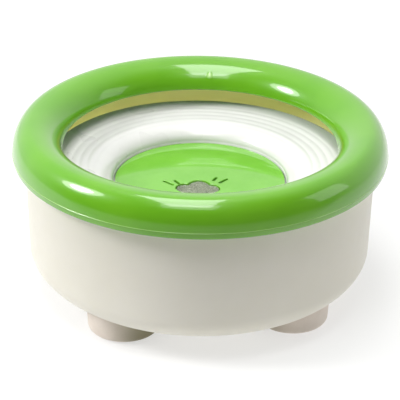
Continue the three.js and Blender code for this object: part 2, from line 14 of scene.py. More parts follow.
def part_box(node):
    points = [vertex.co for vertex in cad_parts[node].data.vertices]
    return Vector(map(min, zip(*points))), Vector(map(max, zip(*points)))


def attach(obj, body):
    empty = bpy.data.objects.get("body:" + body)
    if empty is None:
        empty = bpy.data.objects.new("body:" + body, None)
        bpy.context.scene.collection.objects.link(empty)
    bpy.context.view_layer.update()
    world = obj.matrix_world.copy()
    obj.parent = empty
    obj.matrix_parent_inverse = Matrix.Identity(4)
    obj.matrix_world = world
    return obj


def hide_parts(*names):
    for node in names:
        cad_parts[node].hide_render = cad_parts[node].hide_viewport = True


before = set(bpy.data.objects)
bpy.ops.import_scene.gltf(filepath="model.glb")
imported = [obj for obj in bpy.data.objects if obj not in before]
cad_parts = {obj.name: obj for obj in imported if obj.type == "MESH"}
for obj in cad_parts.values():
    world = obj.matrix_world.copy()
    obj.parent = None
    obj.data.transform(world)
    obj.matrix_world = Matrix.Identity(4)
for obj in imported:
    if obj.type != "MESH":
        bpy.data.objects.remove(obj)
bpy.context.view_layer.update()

MM = 0.001
FINE_SIDES = 288
HIDDEN_SIDES = 192
MEDIUM_SIDES = 144
COARSE_SIDES = 96
SMALL_SIDES = 72


# ---- sizes, in millimetres ------------------------------------------------------------------------------

def span(node):
    """Outer radius, bottom and top of a CAD node that is turned about Z."""
    low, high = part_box(node)
    return high.x / MM, low.z / MM, high.z / MM


def middle(node):
    """X and Y of the middle of a CAD node."""
    low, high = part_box(node)
    return (low.x + high.x) / 2 / MM, (low.y + high.y) / 2 / MM


RING_R, RING_LOW, RING_TOP = span("ring_top_shell")
SKIRT_LOW, ROOF_TOP = span("ring_base")[1:]
GASKET_R, GASKET_LOW, GASKET_TOP = span("ring_gasket")
RIM_R, SPIGOT_LOW, RIM_TOP = span("bowl_shell")
DECK_R, DECK_LOW, DECK_TOP = span("float_deck")
HULL_R, HULL_LOW, HULL_TOP = span("float_hull")
CAP_R, CAP_LOW, CAP_TOP = span("inlet_cap")
SCREEN_R, SCREEN_LOW, SCREEN_TOP = span("mesh_screen")
CLAMP_R, CLAMP_LOW, CLAMP_TOP = span("screen_ring")
FOAM_R, FOAM_LOW, FOAM_TOP = span("filter_pad")
CUP_LOW, CUP_TOP = span("filter_cup")[1:]

BOWL_WALL = 2.6
BOWL_FLOOR = 8.3
BOWL_HIP_R = 96.5
CORNER_WIDTH = 36
CORNER_HEIGHT = 20.6
BOWL_CORNER_R = BOWL_HIP_R - CORNER_WIDTH
TAN_R = 95.8
TAN_LOW = 62
RIM_ROUND = 1.2
BOSS_TOP = 15.4
BOSS_R = 5.5
SPIGOT_R = 8
SPIGOT_TOP = 9.6

FOOT_R = 20.2
FOOT_SOLE = 0.5
FOOT_EDGE = 3.2
FOOT_DRAFT = 0.05
FOOT_BORE = 8.4
FOOT_SEAT = 6.1
FOOT_LAP = 0.25
# Where the feet's painted shade is full and where it ends, from the bowl's axis.
FOOT_NEAR = 28
FOOT_FAR = 54
PAD_RECESS_R = 12.3
PAD_RECESS_TOP = 2.45
PAD_RIBS = (3, 6.2, 9.4)

SEAM_GAP = 0.3
SEAM_LINE = 0.05
CROWN_R = 93.9
THROAT_R = 76.55
RING_WALL = 2.2
THROAT_EDGE = 87.6
SEAM_RIDGE = 0.14
LIP_LOW = 82.3
LIP_DRAFT = 0.45
CHANNEL_R = 98.5
CHANNEL_ROOF = 88.7
SKIRT_R = 94.5
PLATE = 2.1
RING_PLATE_R = THROAT_R + RING_WALL + PLATE
TONGUE_HEIGHT = 2.5
TONGUE_INSET = 0.9
GASKET_GAP = 0.5

FLOAT_WALL = 2
SHOULDER_R = 64
SHOULDER_TOP = 75.2
SHOULDER_WIDTH = 15
SHOULDER_HEIGHT = 8.4
DECK_BORE = 48.5
DECK_WELL_LOW = 65
DECK_ROUND = 1.6
HULL_CORNER = 8
HULL_DRAFT = 2
HULL_TONGUE = 1.7
TONGUE_REACH = 1.4
HULL_STEP = 0.7
WELL_R = 45.6
WELL_LEDGE = 63.6
WELL_RIM_R = 52.4
WELL_RIM_HEIGHT = 1.9
WELL_RIM_WALL = 1.4
GROOVES = (59, 63.5, 68, 72.5, 77)
GROOVE_DEPTH = 0.16
GROOVE_WIDTH = 1.1

CAP_PLATE = 2.2
CAP_SKIRT_R = 45.2
CAP_SKIRT = 2
CAP_EDGE = 0.3
SOCKET_R = 30
SOCKET_LOW = 58
SCREEN_WALL_R = 25.4
SCREEN_WALL = 1.6
SCREEN_WALL_LOW = 61
SOCKET_WALL = 2
SOCKET_LUG_REACH = 1.75
CUP_LUG_REACH = 1.9
CUP_LUG_ROOT = 0.9
CUP_R = 27.7
CUP_WALL = 1.8
CUP_SLOTS = 12
CUP_SLOT_WIDTH = 3
CUP_SLOT_LOW = 49.5
CUP_SLOT_HIGH = 57.5
CUP_HOLE_R = 2.4
CUP_HOLE_CIRCLE_R = 15
BAND_LAP = 0.5
BAR_INSET = 0.02
LUG_HEIGHT = 1.6
CLAMP_BORE_R = 20.8
WIRE_PITCH = 1.0
WIRE_R = 0.21
WIRE_LAP = 0.05
SCREEN_EDGE = 0.2
SCREEN_BULGE = 2.1


# ---- mesh building --------------------------------------------------------------------------------------

def arc(centre_r, centre_z, width, height, start, stop, steps):
    """Points of an ellipse's arc as section corners. Angles in degrees, 0 outwards and 90 up."""
    points = []
    for i in range(steps + 1):
        angle = math.radians(start + (stop - start) * i / steps)
        points.append((centre_r + width * math.cos(angle), centre_z + height * math.sin(angle)))
    return points


def rounded(corners, steps=5):
    """The corners of a section, with an arc in place of each that gives a radius as its third value."""
    points = []
    for i, corner in enumerate(corners):
        here = Vector(corner[:2])
        if len(corner) < 3:
            points.append(here)
            continue
        back = (Vector(corners[i - 1][:2]) - here).normalized()
        ahead = (Vector(corners[(i + 1) % len(corners)][:2]) - here).normalized()
        half = back.angle(ahead) / 2
        centre = here + (back + ahead).normalized() * corner[2] / math.sin(half)
        spoke = here + back * corner[2] / math.tan(half) - centre
        sweep = spoke.angle_signed(here + ahead * corner[2] / math.tan(half) - centre)
        for k in range(steps + 1):
            turn = Matrix.Rotation(-sweep * k / steps, 2)
            points.append(centre + turn @ spoke)
    return [(p[0], p[1]) for p in points]


def even_angles(sides):
    return [2 * math.pi * i / sides for i in range(sides)]


def add_turned(mesh, section_at, angles, centre=(0, 0)):
    """Adds a body turned about a vertical axis to a bmesh. section_at(angle) gives its closed section."""
    rings = []
    for angle in angles:
        ring = []
        for radius, height in section_at(angle):
            x = centre[0] + radius * math.cos(angle)
            y = centre[1] + radius * math.sin(angle)
            ring.append(mesh.verts.new(Vector((x, y, height)) * MM))
        rings.append(ring)
    count = len(rings[0])
    for i, ring in enumerate(rings):
        following = rings[(i + 1) % len(rings)]
        for j in range(count):
            k = (j + 1) % count
            mesh.faces.new((ring[j], following[j], following[k], ring[k]))


def constant(section):
    """A section_at that gives the same section at every angle."""
    return lambda angle: section


def clean(mesh):
    """Closes a bmesh along its axis, and turns its faces out."""
    bmesh.ops.remove_doubles(mesh, verts=mesh.verts, dist=1e-7)
    bmesh.ops.dissolve_degenerate(mesh, edges=mesh.edges, dist=1e-8)
    bmesh.ops.recalc_face_normals(mesh, faces=mesh.faces)


def new_object(name, mesh, sharp=30):
    """A smooth-shaded object from a bmesh. Edges sharper than an angle in degrees stay crisp."""
    data = bpy.data.meshes.new(name)
    mesh.to_mesh(data)
    mesh.free()
    for polygon in data.polygons:
        polygon.use_smooth = True
    data.set_sharp_from_angle(angle=math.radians(sharp))
    made = bpy.data.objects.new(name, data)
    bpy.context.scene.collection.objects.link(made)
    weighted = made.modifiers.new("even_normals", "WEIGHTED_NORMAL")
    weighted.keep_sharp = True
    weighted.weight = 80
    return made


def turned(name, section, sides=FINE_SIDES):
    mesh = bmesh.new()
    add_turned(mesh, constant(section), even_angles(sides))
    clean(mesh)
    return new_object(name, mesh)


def plate_mesh(outlines, low, high, edge):
    """A flat plate as a bmesh, in metres. The first outline is its rim and the others are its holes.
    Its edges are rounded, inside the outlines at the rim and outside them at the holes."""
    curve = bpy.data.curves.new("plate_curve", "CURVE")
    curve.dimensions = "2D"
    curve.fill_mode = "BOTH"
    curve.extrude = ((high - low) / 2 - edge) * MM
    curve.bevel_depth = edge * MM
    curve.bevel_resolution = 2
    curve.offset = -edge * MM
    for outline in outlines:
        spline = curve.splines.new("POLY")
        spline.points.add(len(outline) - 1)
        for point, (x, y) in zip(spline.points, outline):
            point.co = (x * MM, y * MM, 0, 1)
        spline.use_cyclic_u = True
    holder = bpy.data.objects.new("plate_holder", curve)
    bpy.context.scene.collection.objects.link(holder)
    evaluated = holder.evaluated_get(bpy.context.evaluated_depsgraph_get())
    data = bpy.data.meshes.new_from_object(evaluated)
    mesh = bmesh.new()
    mesh.from_mesh(data)
    bpy.data.objects.remove(holder)
    bpy.data.curves.remove(curve)
    bpy.data.meshes.remove(data)
    bmesh.ops.remove_doubles(mesh, verts=mesh.verts, dist=1e-6)
    bmesh.ops.translate(mesh, verts=mesh.verts, vec=(0, 0, (low + high) / 2 * MM))
    bmesh.ops.recalc_face_normals(mesh, faces=mesh.faces)
    return mesh


def ride(piece, body, slot, *nodes):
    """Sets what a finished piece moves with and the nodes it replaces. The slot argument is not used."""
    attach(piece, body)
    if nodes:
        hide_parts(*nodes)
    return piece


# ---- finishes -------------------------------------------------------------------------------------------

class Finish:
    """A Principled material and short calls that add procedural nodes to it."""

    def __init__(self, name, **constants):
        self.material = bpy.data.materials.new(name)
        self.material.use_nodes = True
        self.nodes = self.material.node_tree.nodes
        self.links = self.material.node_tree.links
        self.shader = self.nodes["Principled BSDF"]
        self.place = self.nodes.new("ShaderNodeTexCoord").outputs["Object"]
        for socket, value in constants.items():
            self.shader.inputs[socket.replace("_", " ")].default_value = value

    def noise(self, size, detail=3, roughness=0.55):
        """A noise whose features are about size millimetres across."""
        node = self.nodes.new("ShaderNodeTexNoise")
        node.inputs["Scale"].default_value = 1 / (size * MM)
        node.inputs["Detail"].default_value = detail
        node.inputs["Roughness"].default_value = roughness
        self.links.new(self.place, node.inputs["Vector"])
        return node.outputs["Fac"]

    def remap(self, value, low, high, to_low, to_high, smooth=False):
        node = self.nodes.new("ShaderNodeMapRange")
        node.interpolation_type = "SMOOTHSTEP" if smooth else "LINEAR"
        for i, number in enumerate((low, high, to_low, to_high), start=1):
            node.inputs[i].default_value = number
        self.links.new(value, node.inputs["Value"])
        return node.outputs["Result"]

    def blend(self, factor, first, second):
        """A colour between two, each a colour or a socket."""
        node = self.nodes.new("ShaderNodeMix")
        node.data_type = "RGBA"
        self.links.new(factor, node.inputs["Factor"])
        for socket, colour in ((node.inputs[6], first), (node.inputs[7], second)):
            if isinstance(colour, tuple):
                socket.default_value = (*colour, 1)
            else:
                self.links.new(colour, socket)
        return node.outputs[2]

    def multiply(self, first, second):
        node = self.nodes.new("ShaderNodeMath")
        node.operation = "MULTIPLY"
        self.links.new(first, node.inputs[0])
        if isinstance(second, (int, float)):
            node.inputs[1].default_value = second
        else:
            self.links.new(second, node.inputs[1])
        return node.outputs[0]

    def add(self, first, second):
        node = self.nodes.new("ShaderNodeMath")
        node.operation = "ADD"
        self.links.new(first, node.inputs[0])
        self.links.new(second, node.inputs[1])
        return node.outputs[0]

    def along(self, axis):
        """The object-space place along X, Y or Z, in metres."""
        node = self.nodes.new("ShaderNodeSeparateXYZ")
        self.links.new(self.place, node.inputs[0])
        return node.outputs[axis]

    def radius(self):
        """The distance from the object's vertical axis, in metres."""
        flat = self.nodes.new("ShaderNodeVectorMath")
        flat.operation = "MULTIPLY"
        flat.inputs[1].default_value = (1, 1, 0)
        self.links.new(self.place, flat.inputs[0])
        length = self.nodes.new("ShaderNodeVectorMath")
        length.operation = "LENGTH"
        self.links.new(flat.outputs[0], length.inputs[0])
        return length.outputs["Value"]

    def distance(self, point):
        """The distance from a point, in metres."""
        node = self.nodes.new("ShaderNodeVectorMath")
        node.operation = "DISTANCE"
        node.inputs[1].default_value = point
        self.links.new(self.place, node.inputs[0])
        return node.outputs["Value"]

    def colour(self, socket):
        self.links.new(socket, self.shader.inputs["Base Color"])
        return self

    def roughness(self, socket):
        self.links.new(socket, self.shader.inputs["Roughness"])
        return self

    def bump(self, height, depth, coat=False):
        """A bump whose full height is depth millimetres."""
        node = self.nodes.new("ShaderNodeBump")
        node.inputs["Distance"].default_value = depth * MM
        self.links.new(height, node.inputs["Height"])
        self.links.new(node.outputs["Normal"], self.shader.inputs["Normal"])
        if coat:
            self.links.new(node.outputs["Normal"], self.shader.inputs["Coat Normal"])
        return self

    def put_on(self, *pieces):
        for piece in pieces:
            piece.data.materials.clear()
            piece.data.materials.append(self.material)


def ring_plastic():
    """Polished moulded plastic under a clear skin, with a painted highlight along the seam's ridge and on
    the gate mark.
    """
    finish = Finish(
        "ring_green", Coat_Weight=1.0, Coat_Roughness=0.045, Coat_IOR=1.5, Specular_IOR_Level=0.3,
    )
    cloud = finish.remap(finish.noise(38, 2), 0.35, 0.65, 0, 1, smooth=True)
    green = finish.blend(cloud, (0.122, 0.385, 0.006), (0.140, 0.41, 0.010))
    height = finish.along("Z")
    # Painted highlight: the seam's ridge is coloured paler, where light catches it.
    above = finish.remap(height, (SEAM - 0.15) * MM, (SEAM + 0.05) * MM, 0, 1)
    below = finish.remap(height, (SEAM + 0.4) * MM, (SEAM + 0.6) * MM, 1, 0)
    seam_highlight_colour = finish.blend(finish.multiply(above, below), green, (0.34, 0.64, 0.14))
    # Painted highlight: the ring is coloured paler round the gate mark.
    nub_r, nub_z = dome_point(180 - NUB_PLACE)
    nub = Vector((nub_r * math.cos(NUB_AZIMUTH), nub_r * math.sin(NUB_AZIMUTH), nub_z)) * MM
    nub_highlight = finish.remap(finish.distance(nub), 1.0 * MM, 2.4 * MM, 1, 0, smooth=True)
    finish.colour(finish.blend(nub_highlight, seam_highlight_colour, (0.40, 0.68, 0.22)))
    finish.roughness(finish.remap(finish.noise(24, 1), 0.3, 0.7, 0.29, 0.33))
    return finish.bump(finish.noise(15, 2), 0.04, coat=True)


def cap_plastic():
    """The cap's paler green under a still film of water, which mirrors the ring above it."""
    finish = Finish(
        "cap_green", Coat_Weight=1.0, Coat_Roughness=0.0, Coat_IOR=1.6, Specular_IOR_Level=0.12,
    )
    cloud = finish.remap(finish.noise(16, 3), 0.35, 0.65, 0, 1, smooth=True)
    finish.colour(finish.blend(cloud, (0.165, 0.47, 0.035), (0.185, 0.50, 0.045)))
    finish.roughness(finish.remap(finish.noise(3, 4), 0.3, 0.7, 0.35, 0.5))
    return finish.bump(finish.noise(0.7, 3), 0.02)


def cream_plastic():
    """The bowl's satin polypropylene. It has painted tan bounce light inside above the water, and painted
    shade that makes it darker at the bottom.
    """
    finish = Finish(
        "cream_plastic", Subsurface_Scale=0.011, Specular_IOR_Level=0.42, Subsurface_Radius=(1.0, 0.97, 0.8),
    )
    # tan is the colour of painted bounce light on the inner wall.
    cream, warm, tan = (0.80, 0.765, 0.655), (0.775, 0.74, 0.625), (1.0, 0.93, 0.38)
    cloud = finish.remap(finish.noise(55, 3), 0.35, 0.65, 0, 1, smooth=True)
    # Painted shade: the outside is coloured darker towards the bottom.
    low_shade = finish.remap(finish.along("Z"), 7 * MM, 26 * MM, 1, 0, smooth=True)
    outside = finish.blend(low_shade, finish.blend(cloud, cream, warm), (0.70, 0.67, 0.565))
    # Painted bounce light: the inner wall above the water is coloured tan, and lets more light through
    # there.
    inner = finish.remap(finish.radius(), (TAN_R - 0.2) * MM, (TAN_R + 0.2) * MM, 1, 0)
    high = finish.remap(finish.along("Z"), TAN_LOW * MM, (TAN_LOW + 8) * MM, 0, 1, smooth=True)
    painted_bounce_mask = finish.multiply(inner, high)
    finish.colour(finish.blend(painted_bounce_mask, outside, tan))
    finish.links.new(finish.remap(painted_bounce_mask, 0, 1, 0.35, 1), finish.shader.inputs["Subsurface Weight"])
    finish.roughness(finish.remap(finish.noise(4, 4), 0.3, 0.7, 0.36, 0.5))
    return finish.bump(finish.noise(0.55, 4, 0.6), 0.035)


def soft_foot():
    """The feet's soft plastic, with painted shade that makes it darker and browner towards the middle of the
    bowl.
    """
    finish = Finish("soft_foot", Specular_IOR_Level=0.3, Sheen_Weight=0.12, Sheen_Roughness=0.5)
    cloud = finish.remap(finish.noise(12, 4), 0.3, 0.7, 0, 1, smooth=True)
    base = finish.blend(cloud, (0.72, 0.64, 0.56), (0.78, 0.70, 0.62))
    # Painted shade: the feet are coloured darker and browner towards the bowl's middle.
    spread = finish.nodes.new("ShaderNodeMath")
    spread.operation = "ABSOLUTE"
    finish.links.new(finish.along("X"), spread.inputs[0])
    inner_shade = finish.remap(spread.outputs[0], FOOT_NEAR * MM, FOOT_FAR * MM, 1, 0, smooth=True)
    finish.colour(finish.blend(inner_shade, base, (0.26, 0.24, 0.15)))
    finish.roughness(finish.remap(finish.noise(2, 4), 0.3, 0.7, 0.62, 0.8))
    return finish.bump(finish.noise(0.4, 4, 0.7), 0.06)


def pad_rubber():
    finish = Finish("pad_rubber", Specular_IOR_Level=0.3)
    speck = finish.remap(finish.noise(0.8, 5, 0.7), 0.45, 0.7, 0, 1)
    finish.colour(finish.blend(speck, (0.42, 0.39, 0.35), (0.52, 0.48, 0.44)))
    finish.roughness(finish.remap(finish.noise(1.5, 3), 0.3, 0.7, 0.75, 0.95))
    return finish.bump(finish.noise(0.35, 4, 0.75), 0.09)


def wet_white():
    """The float's white plastic, with painted light that makes it paler outwards, under a film of water with
    scattered small drops.
    """
    finish = Finish(
        "wet_white", Coat_Weight=1.0, Coat_Roughness=0.03, Coat_IOR=1.33, Specular_IOR_Level=0.4,
    )
    cloud = finish.remap(finish.noise(30, 3), 0.3, 0.7, 0, 1, smooth=True)
    body = finish.blend(cloud, (0.73, 0.725, 0.705), (0.77, 0.765, 0.745))
    # Painted light: the deck is coloured paler towards its rim, where the ring's lip shades it.
    outer = finish.remap(finish.radius(), 64 * MM, 80 * MM, 0, 1, smooth=True)
    finish.colour(finish.blend(outer, body, (0.88, 0.87, 0.845)))
    finish.roughness(finish.remap(finish.noise(20, 1), 0.3, 0.7, 0.27, 0.31))
    cells = finish.nodes.new("ShaderNodeTexVoronoi")
    cells.inputs["Scale"].default_value = 1 / (4.2 * MM)
    finish.links.new(finish.place, cells.inputs["Vector"])
    drop = finish.remap(cells.outputs["Distance"], 0, 0.26, 1, 0, smooth=True)
    chosen = finish.nodes.new("ShaderNodeSeparateColor")
    finish.links.new(cells.outputs["Color"], chosen.inputs[0])
    drops = finish.multiply(drop, finish.remap(chosen.outputs[0], 0.93, 0.95, 0, 1))
    film = finish.multiply(finish.noise(9, 1), 0.3)
    return finish.bump(finish.add(drops, film), 0.2, coat=True)


def satin_white():
    finish = Finish("satin_white", Specular_IOR_Level=0.45, Subsurface_Weight=0.08, Subsurface_Scale=0.003)
    cloud = finish.remap(finish.noise(14, 3), 0.3, 0.7, 0, 1, smooth=True)
    finish.colour(finish.blend(cloud, (0.80, 0.80, 0.775), (0.85, 0.85, 0.83)))
    finish.roughness(finish.remap(finish.noise(3, 4), 0.3, 0.7, 0.38, 0.52))
    return finish.bump(finish.noise(0.6, 4), 0.03)


def silicone():
    finish = Finish("silicone", Subsurface_Weight=0.4, Subsurface_Scale=0.003, Specular_IOR_Level=0.35)
    cloud = finish.remap(finish.noise(8, 3), 0.3, 0.7, 0, 1, smooth=True)
    finish.colour(finish.blend(cloud, (0.72, 0.73, 0.70), (0.80, 0.81, 0.78)))
    finish.roughness(finish.remap(finish.noise(2, 3), 0.3, 0.7, 0.5, 0.65))
    return finish.bump(finish.noise(0.5, 3), 0.02)


def steel(name, dark, light, low, high):
    finish = Finish(name, Metallic=1.0)
    stain = finish.remap(finish.noise(1.1, 5, 0.7), 0.35, 0.65, 0, 1)
    finish.colour(finish.blend(stain, dark, light))
    finish.roughness(finish.remap(finish.noise(0.8, 4), 0.3, 0.7, low, high))
    return finish.bump(finish.noise(0.3, 4), 0.015)


def foam():
    finish = Finish("foam", Specular_IOR_Level=0.2)
    cells = finish.nodes.new("ShaderNodeTexVoronoi")
    cells.inputs["Scale"].default_value = 1 / (1.1 * MM)
    finish.links.new(finish.place, cells.inputs["Vector"])
    # The pores are bumped in and coloured dark, which is painted shade in them.
    pore_depth_and_shade = finish.remap(cells.outputs["Distance"], 0.15, 0.55, 0, 1, smooth=True)
    finish.colour(finish.blend(pore_depth_and_shade, (0.30, 0.31, 0.29), (0.72, 0.73, 0.70)))
    finish.roughness(finish.remap(finish.noise(2, 3), 0.3, 0.7, 0.85, 1))
    return finish.bump(pore_depth_and_shade, 0.5)


# ---- bowl -----------------------------------------------------------------------------------------------

FOOT_NAMES = ("front_left", "front_right", "rear_right", "rear_left")


def bowl_surface(offset, steps):
    """The bowl's surface from its axis to the top of its rounded corner, moved outwards by an offset."""
    centre_z = BOWL_FLOOR + CORNER_HEIGHT
    corner = arc(BOWL_CORNER_R, centre_z, CORNER_WIDTH + offset, CORNER_HEIGHT + offset, 270, 360, steps)
    flat = [(BOWL_CORNER_R * i / 6, BOWL_FLOOR - offset) for i in range(6)]
    return flat + corner


def wall_points(bottom, top, steps=8):
    """Points strictly between two, so that a long straight wall has even faces."""
    return [tuple(a + (b - a) * i / steps for a, b in zip(bottom, top)) for i in range(1, steps)]


def make_bowl():
    outside = bowl_surface(0, 40)
    inside = bowl_surface(-BOWL_WALL, 32)
    rim_low = RIM_TOP - RIM_ROUND
    rim_outer, rim_inner = (RIM_R, rim_low), (RIM_R - BOWL_WALL, rim_low)
    rim = arc(RIM_R - BOWL_WALL / 2, rim_low, BOWL_WALL / 2, RIM_ROUND, 0, 180, 10)
    section = outside + wall_points(outside[-1], rim_outer) + rim
    section += wall_points(rim_inner, inside[-1]) + inside[::-1]
    mesh = bmesh.new()
    add_turned(mesh, constant(section), even_angles(FINE_SIDES))
    for name in FOOT_NAMES:
        boss = rounded([
            (0, 10), (BOSS_R + 2, 10), (BOSS_R, 11.6, 1.2), (BOSS_R, BOSS_TOP, 0.8), (0, BOSS_TOP),
        ])
        spigot = rounded([
            (0, SPIGOT_LOW), (SPIGOT_R, SPIGOT_LOW, 0.4), (SPIGOT_R, SPIGOT_TOP), (0, SPIGOT_TOP),
        ])
        for part in (boss, spigot):
            add_turned(mesh, constant(part), even_angles(SMALL_SIDES), middle("foot_screw_" + name))
    clean(mesh)
    return new_object("bowl", mesh)


def underside(radius):
    """Height of the bowl's outer surface over a radius."""
    across = max(0, radius - BOWL_CORNER_R) / CORNER_WIDTH
    return BOWL_FLOOR + CORNER_HEIGHT * (1 - math.sqrt(max(0, 1 - across * across)))


def make_foot(name):
    """A stub foot: pad recess, rounded sole, drafted side and a top that fits the bowl's underside."""
    cx, cy = middle("foot_screw_" + name)

    def section(angle):
        def top(radius):
            from_axis = math.hypot(cx + radius * math.cos(angle), cy + radius * math.sin(angle))
            return underside(from_axis) + FOOT_LAP

        points = [(0, PAD_RECESS_TOP), (PAD_RECESS_R, PAD_RECESS_TOP)]
        points += [(PAD_RECESS_R, FOOT_SOLE + 0.3), (PAD_RECESS_R + 0.3, FOOT_SOLE)]
        side_low = FOOT_SOLE + FOOT_EDGE
        points += arc(FOOT_R - FOOT_EDGE, side_low, FOOT_EDGE, FOOT_EDGE, 270, 360, 12)
        side_high = top(FOOT_R + 0.4)
        for i in range(1, 9):
            height = side_low + (side_high - side_low) * i / 8
            points.append((FOOT_R + FOOT_DRAFT * (height - side_low), height))
        points += [(radius, top(radius)) for radius in (17, 13, FOOT_BORE)]
        return points + [(FOOT_BORE, FOOT_SEAT), (0, FOOT_SEAT)]

    mesh = bmesh.new()
    add_turned(mesh, section, even_angles(COARSE_SIDES), (cx, cy))
    clean(mesh)
    return new_object("foot_soft_" + name, mesh)


def make_foot_pad(name):
    """A round pad with three ribs on the face that stands on the floor."""
    node = "foot_pad_" + name
    low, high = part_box(node)
    radius, top = (high.x - low.x) / 2 / MM, high.z / MM
    section = [(0, 0)]
    for inner in PAD_RIBS:
        section += [(inner, 0), (inner + 0.3, 0.45), (inner + 0.9, 0.45), (inner + 1.2, 0)]
    section += rounded([(radius, 0, 0.5), (radius, top, 0.2), (0, top)])
    mesh = bmesh.new()
    add_turned(mesh, constant(section), even_angles(SMALL_SIDES), middle(node))
    clean(mesh)
    return new_object("grip_pad_" + name, mesh, sharp=40)


# ---- splash ring ----------------------------------------------------------------------------------------

DOME_HEIGHT = RING_TOP - RING_LOW + SEAM_GAP / 2
SEAM = RING_LOW - SEAM_GAP / 2
NUB_AZIMUTH = math.radians(86.5)
NUB_WIDTH = 1.5
NUB_LENGTH = 2.4
NUB_HEIGHT = 0.3
NUB_PLACE = 37  # degrees above the seam's level, on the throat's side of the dome


def dome_point(angle, wall=0):
    """A point of the dome's section: 0 is the outer seam, 90 the crown and 180 the throat."""
    width = RING_R - SEAM_RIDGE - CROWN_R if angle <= 90 else CROWN_R - THROAT_R
    turn = math.radians(angle)
    return (CROWN_R + (width - wall) * math.cos(turn), SEAM + (DOME_HEIGHT - wall) * math.sin(turn))


def nub_lift(angle, azimuth):
    """How far the gate mark lifts the dome's surface at a point of its section and an azimuth."""
    place = 180 - NUB_PLACE
    along = (angle - place) / 180 * math.pi * DOME_HEIGHT
    across = (azimuth - NUB_AZIMUTH) * dome_point(place)[0]
    taper = 1 + 0.35 * along / NUB_LENGTH
    reach = (across / (NUB_WIDTH * max(0.3, taper))) ** 2 + (along / NUB_LENGTH) ** 2
    return NUB_HEIGHT * math.exp(-reach ** 1.2)


def make_ring_shell():
    low = math.degrees(math.asin((SEAM_LINE + 0.42) / DOME_HEIGHT))
    end = 180 - math.degrees(math.asin((THROAT_EDGE + 0.35 - SEAM) / DOME_HEIGHT))
    inner_height = DOME_HEIGHT - RING_WALL
    inner_end = 180 - math.degrees(math.asin((THROAT_EDGE - SEAM) / inner_height))
    steps = 90
    outer_angles = [low + (end - low) * i / steps for i in range(steps + 1)]
    bead = arc(RING_R - 0.2, SEAM + SEAM_LINE + 0.2, 0.2, 0.2, 270, 400, 8)
    ridge = [(RING_R - RING_WALL, SEAM + SEAM_LINE)] + bead
    inside = [dome_point(inner_end + (low - inner_end) * i / 40, RING_WALL) for i in range(41)]
    edge_outer = dome_point(end)
    edge_inner = inside[0]
    edge = arc((edge_outer[0] + edge_inner[0]) / 2, THROAT_EDGE + 0.35, 1.1, 0.7, 180, 360, 8)

    def section(azimuth):
        dome = []
        for angle in outer_angles:
            radius, height = dome_point(angle)
            lift = nub_lift(angle, azimuth)
            if lift > 1e-4:
                turn = math.radians(angle)
                radius += lift * math.cos(turn)
                height += lift * math.sin(turn)
            dome.append((radius, min(height, RING_TOP)))
        return ridge + dome + edge + inside

    near = [NUB_AZIMUTH + math.radians(0.22 * (i - 14)) for i in range(29)]
    far = [a for a in even_angles(FINE_SIDES) if abs(a - NUB_AZIMUTH) > math.radians(3.4)]
    mesh = bmesh.new()
    add_turned(mesh, section, sorted(near + far))
    clean(mesh)
    return new_object("splash_ring_shell", mesh)


def make_ring_collar():
    skirt_inner = SKIRT_R - RING_WALL
    plate_low = THROAT_EDGE + SEAM_GAP
    strip_top = SEAM - SEAM_LINE
    tongue = RING_R - RING_WALL - TONGUE_INSET
    tongue_top = strip_top + TONGUE_HEIGHT
    channel_back = CHANNEL_R + PLATE
    lip = RING_R - LIP_DRAFT - SEAM_RIDGE
    section = rounded([
        (RING_PLATE_R, plate_low, 0.5), (skirt_inner, plate_low, 0.8), (skirt_inner, SKIRT_LOW, 0.8),
        (SKIRT_R, SKIRT_LOW, 0.8), (SKIRT_R, CHANNEL_ROOF, 0.4), (CHANNEL_R, CHANNEL_ROOF, 0.4),
        (CHANNEL_R, LIP_LOW, 0.5), (lip, LIP_LOW, 1.2), (RING_R - SEAM_RIDGE, strip_top, 0.1),
        (tongue, strip_top, 0.2), (tongue, tongue_top, 0.4), (channel_back, tongue_top),
        (channel_back, ROOF_TOP, 0.5), (skirt_inner, ROOF_TOP, 0.5), (skirt_inner, plate_low + PLATE, 0.5),
        (RING_PLATE_R, plate_low + PLATE, 0.5),
    ])
    return turned("splash_ring_collar", section)


def make_gasket():
    inner = SKIRT_R + GASKET_GAP
    section = rounded([
        (inner, GASKET_LOW, 0.3), (GASKET_R, GASKET_LOW, 0.3), (GASKET_R, GASKET_TOP, 0.5),
        (inner, GASKET_TOP, 0.5),
    ])
    return turned("rim_gasket", section, HIDDEN_SIDES)


# ---- float ----------------------------------------------------------------------------------------------

def deck_height(radius):
    """The deck's top: dished slightly, grooved, and rolled over towards the well."""
    if radius >= SHOULDER_R:
        rise = (DECK_TOP - SHOULDER_TOP) / (DECK_R - DECK_ROUND - SHOULDER_R)
        height = SHOULDER_TOP + rise * (radius - SHOULDER_R)
    else:
        across = (SHOULDER_R - radius) / SHOULDER_WIDTH
        height = SHOULDER_TOP - SHOULDER_HEIGHT * (1 - math.sqrt(max(0, 1 - across * across)))
    for groove in GROOVES:
        height -= GROOVE_DEPTH * math.exp(-((radius - groove) / GROOVE_WIDTH) ** 2)
    return height


